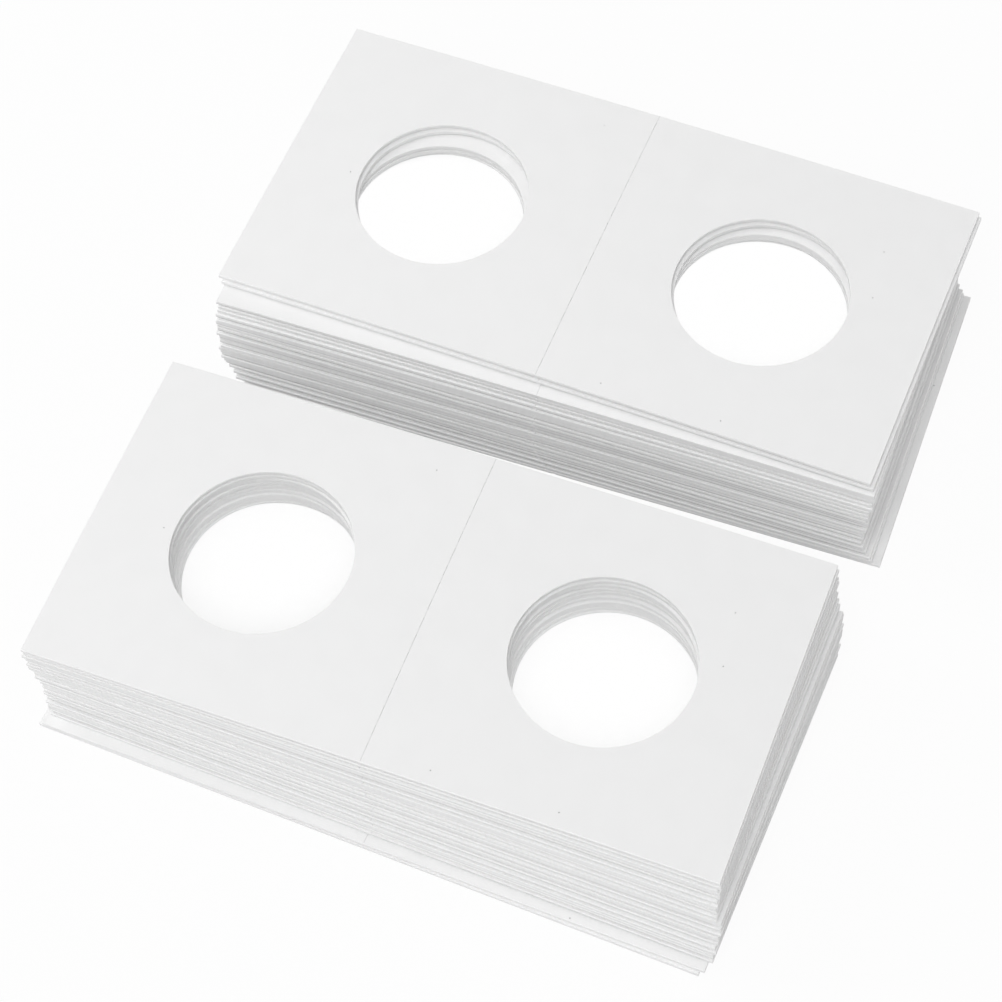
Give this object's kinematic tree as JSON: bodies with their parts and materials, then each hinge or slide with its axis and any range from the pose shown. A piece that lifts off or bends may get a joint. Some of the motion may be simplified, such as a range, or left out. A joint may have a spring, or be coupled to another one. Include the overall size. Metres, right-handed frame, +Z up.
{
  "type": "coin flips",
  "caption": "Loose stacks of white paperboard coin flips, opened flat, with a film-covered round window in each half and a perforated fold across the middle.",
  "frame": {"origin": "on the ground, under the middle of the box around both stacks", "axes": "+X along the flips, from the left window to the right one; +Y along the folds, from the front stack to the rear one; +Z up"},
  "size_m": [0.1058, 0.1222, 0.0236],
  "materials": {
    "board": "matte",
    "film": "gloss"
  },
  "bodies": {
    "root": {"front_bundle_boards": "board", "front_bundle_films": "film", "rear_bundle_boards": "board", "rear_bundle_films": "film"},
    "front_flip_13": {"front_board_13": "board", "front_film_13": "film"},
    "front_flip_14": {"front_board_14": "board", "front_film_14": "film"},
    "front_flip_15": {"front_board_15": "board", "front_film_15": "film"},
    "front_flip_16": {"front_board_16": "board", "front_film_16": "film"},
    "front_flip_17": {"front_board_17": "board", "front_film_17": "film"},
    "front_flip_18": {"front_board_18": "board", "front_film_18": "film"},
    "front_flip_19": {"front_board_19": "board", "front_film_19": "film"},
    "front_flip_20": {"front_board_20": "board", "front_film_20": "film"},
    "front_flip_21": {"front_board_21": "board", "front_film_21": "film"},
    "front_flip_22": {"front_board_22": "board", "front_film_22": "film"},
    "front_flip_23": {"front_board_23": "board", "front_film_23": "film"},
    "front_flip_24": {"front_board_24": "board", "front_film_24": "film"},
    "front_top": {"front_top_left_panel": "board", "front_top_left_film": "film"},
    "front_top_flap": {"front_top_right_panel": "board", "front_top_right_film": "film"},
    "rear_flip_13": {"rear_board_13": "board", "rear_film_13": "film"},
    "rear_flip_14": {"rear_board_14": "board", "rear_film_14": "film"},
    "rear_flip_15": {"rear_board_15": "board", "rear_film_15": "film"},
    "rear_flip_16": {"rear_board_16": "board", "rear_film_16": "film"},
    "rear_flip_17": {"rear_board_17": "board", "rear_film_17": "film"},
    "rear_flip_18": {"rear_board_18": "board", "rear_film_18": "film"},
    "rear_flip_19": {"rear_board_19": "board", "rear_film_19": "film"},
    "rear_flip_20": {"rear_board_20": "board", "rear_film_20": "film"},
    "rear_flip_21": {"rear_board_21": "board", "rear_film_21": "film"},
    "rear_flip_22": {"rear_board_22": "board", "rear_film_22": "film"},
    "rear_flip_23": {"rear_board_23": "board", "rear_film_23": "film"},
    "rear_flip_24": {"rear_board_24": "board", "rear_film_24": "film"},
    "rear_top": {"rear_top_left_panel": "board", "rear_top_left_film": "film"},
    "rear_top_flap": {"rear_top_right_panel": "board", "rear_top_right_film": "film"}
  },
  "joints": [
    {"name": "lift_front_13", "type": "slide", "parent": "root", "child": "front_flip_13", "axis": [0, 0, 1], "range_m": [0, 0.008]},
    {"name": "lift_front_14", "type": "slide", "parent": "front_flip_13", "child": "front_flip_14", "axis": [0, 0, 1], "range_m": [0, 0.008]},
    {"name": "lift_front_15", "type": "slide", "parent": "front_flip_14", "child": "front_flip_15", "axis": [0, 0, 1], "range_m": [0, 0.008]},
    {"name": "lift_front_16", "type": "slide", "parent": "front_flip_15", "child": "front_flip_16", "axis": [0, 0, 1], "range_m": [0, 0.008]},
    {"name": "lift_front_17", "type": "slide", "parent": "front_flip_16", "child": "front_flip_17", "axis": [0, 0, 1], "range_m": [0, 0.008]},
    {"name": "lift_front_18", "type": "slide", "parent": "front_flip_17", "child": "front_flip_18", "axis": [0, 0, 1], "range_m": [0, 0.008]},
    {"name": "lift_front_19", "type": "slide", "parent": "front_flip_18", "child": "front_flip_19", "axis": [0, 0, 1], "range_m": [0, 0.008]},
    {"name": "lift_front_20", "type": "slide", "parent": "front_flip_19", "child": "front_flip_20", "axis": [0, 0, 1], "range_m": [0, 0.008]},
    {"name": "lift_front_21", "type": "slide", "parent": "front_flip_20", "child": "front_flip_21", "axis": [0, 0, 1], "range_m": [0, 0.008]},
    {"name": "lift_front_22", "type": "slide", "parent": "front_flip_21", "child": "front_flip_22", "axis": [0, 0, 1], "range_m": [0, 0.008]},
    {"name": "lift_front_23", "type": "slide", "parent": "front_flip_22", "child": "front_flip_23", "axis": [0, 0, 1], "range_m": [0, 0.008]},
    {"name": "lift_front_24", "type": "slide", "parent": "front_flip_23", "child": "front_flip_24", "axis": [0, 0, 1], "range_m": [0, 0.008]},
    {"name": "lift_front_top", "type": "slide", "parent": "front_flip_24", "child": "front_top", "axis": [0, 0, 1], "range_m": [0, 0.03]},
    {"name": "fold_front", "type": "hinge", "parent": "front_top", "child": "front_top_flap", "pos_m": [-0.00126, -0.03092, 0.02279], "axis": [0, -1, 0], "range_deg": [0, 180]},
    {"name": "lift_rear_13", "type": "slide", "parent": "root", "child": "rear_flip_13", "axis": [0, 0, 1], "range_m": [0, 0.008]},
    {"name": "lift_rear_14", "type": "slide", "parent": "rear_flip_13", "child": "rear_flip_14", "axis": [0, 0, 1], "range_m": [0, 0.008]},
    {"name": "lift_rear_15", "type": "slide", "parent": "rear_flip_14", "child": "rear_flip_15", "axis": [0, 0, 1], "range_m": [0, 0.008]},
    {"name": "lift_rear_16", "type": "slide", "parent": "rear_flip_15", "child": "rear_flip_16", "axis": [0, 0, 1], "range_m": [0, 0.008]},
    {"name": "lift_rear_17", "type": "slide", "parent": "rear_flip_16", "child": "rear_flip_17", "axis": [0, 0, 1], "range_m": [0, 0.008]},
    {"name": "lift_rear_18", "type": "slide", "parent": "rear_flip_17", "child": "rear_flip_18", "axis": [0, 0, 1], "range_m": [0, 0.008]},
    {"name": "lift_rear_19", "type": "slide", "parent": "rear_flip_18", "child": "rear_flip_19", "axis": [0, 0, 1], "range_m": [0, 0.008]},
    {"name": "lift_rear_20", "type": "slide", "parent": "rear_flip_19", "child": "rear_flip_20", "axis": [0, 0, 1], "range_m": [0, 0.008]},
    {"name": "lift_rear_21", "type": "slide", "parent": "rear_flip_20", "child": "rear_flip_21", "axis": [0, 0, 1], "range_m": [0, 0.008]},
    {"name": "lift_rear_22", "type": "slide", "parent": "rear_flip_21", "child": "rear_flip_22", "axis": [0, 0, 1], "range_m": [0, 0.008]},
    {"name": "lift_rear_23", "type": "slide", "parent": "rear_flip_22", "child": "rear_flip_23", "axis": [0, 0, 1], "range_m": [0, 0.008]},
    {"name": "lift_rear_24", "type": "slide", "parent": "rear_flip_23", "child": "rear_flip_24", "axis": [0, 0, 1], "range_m": [0, 0.008]},
    {"name": "lift_rear_top", "type": "slide", "parent": "rear_flip_24", "child": "rear_top", "axis": [0, 0, 1], "range_m": [0, 0.03]},
    {"name": "fold_rear", "type": "hinge", "parent": "rear_top", "child": "rear_top_flap", "pos_m": [-0.00026, 0.03448, 0.02375], "axis": [-0.0234, -0.9997, 0], "range_deg": [0, 180]}
  ]
}
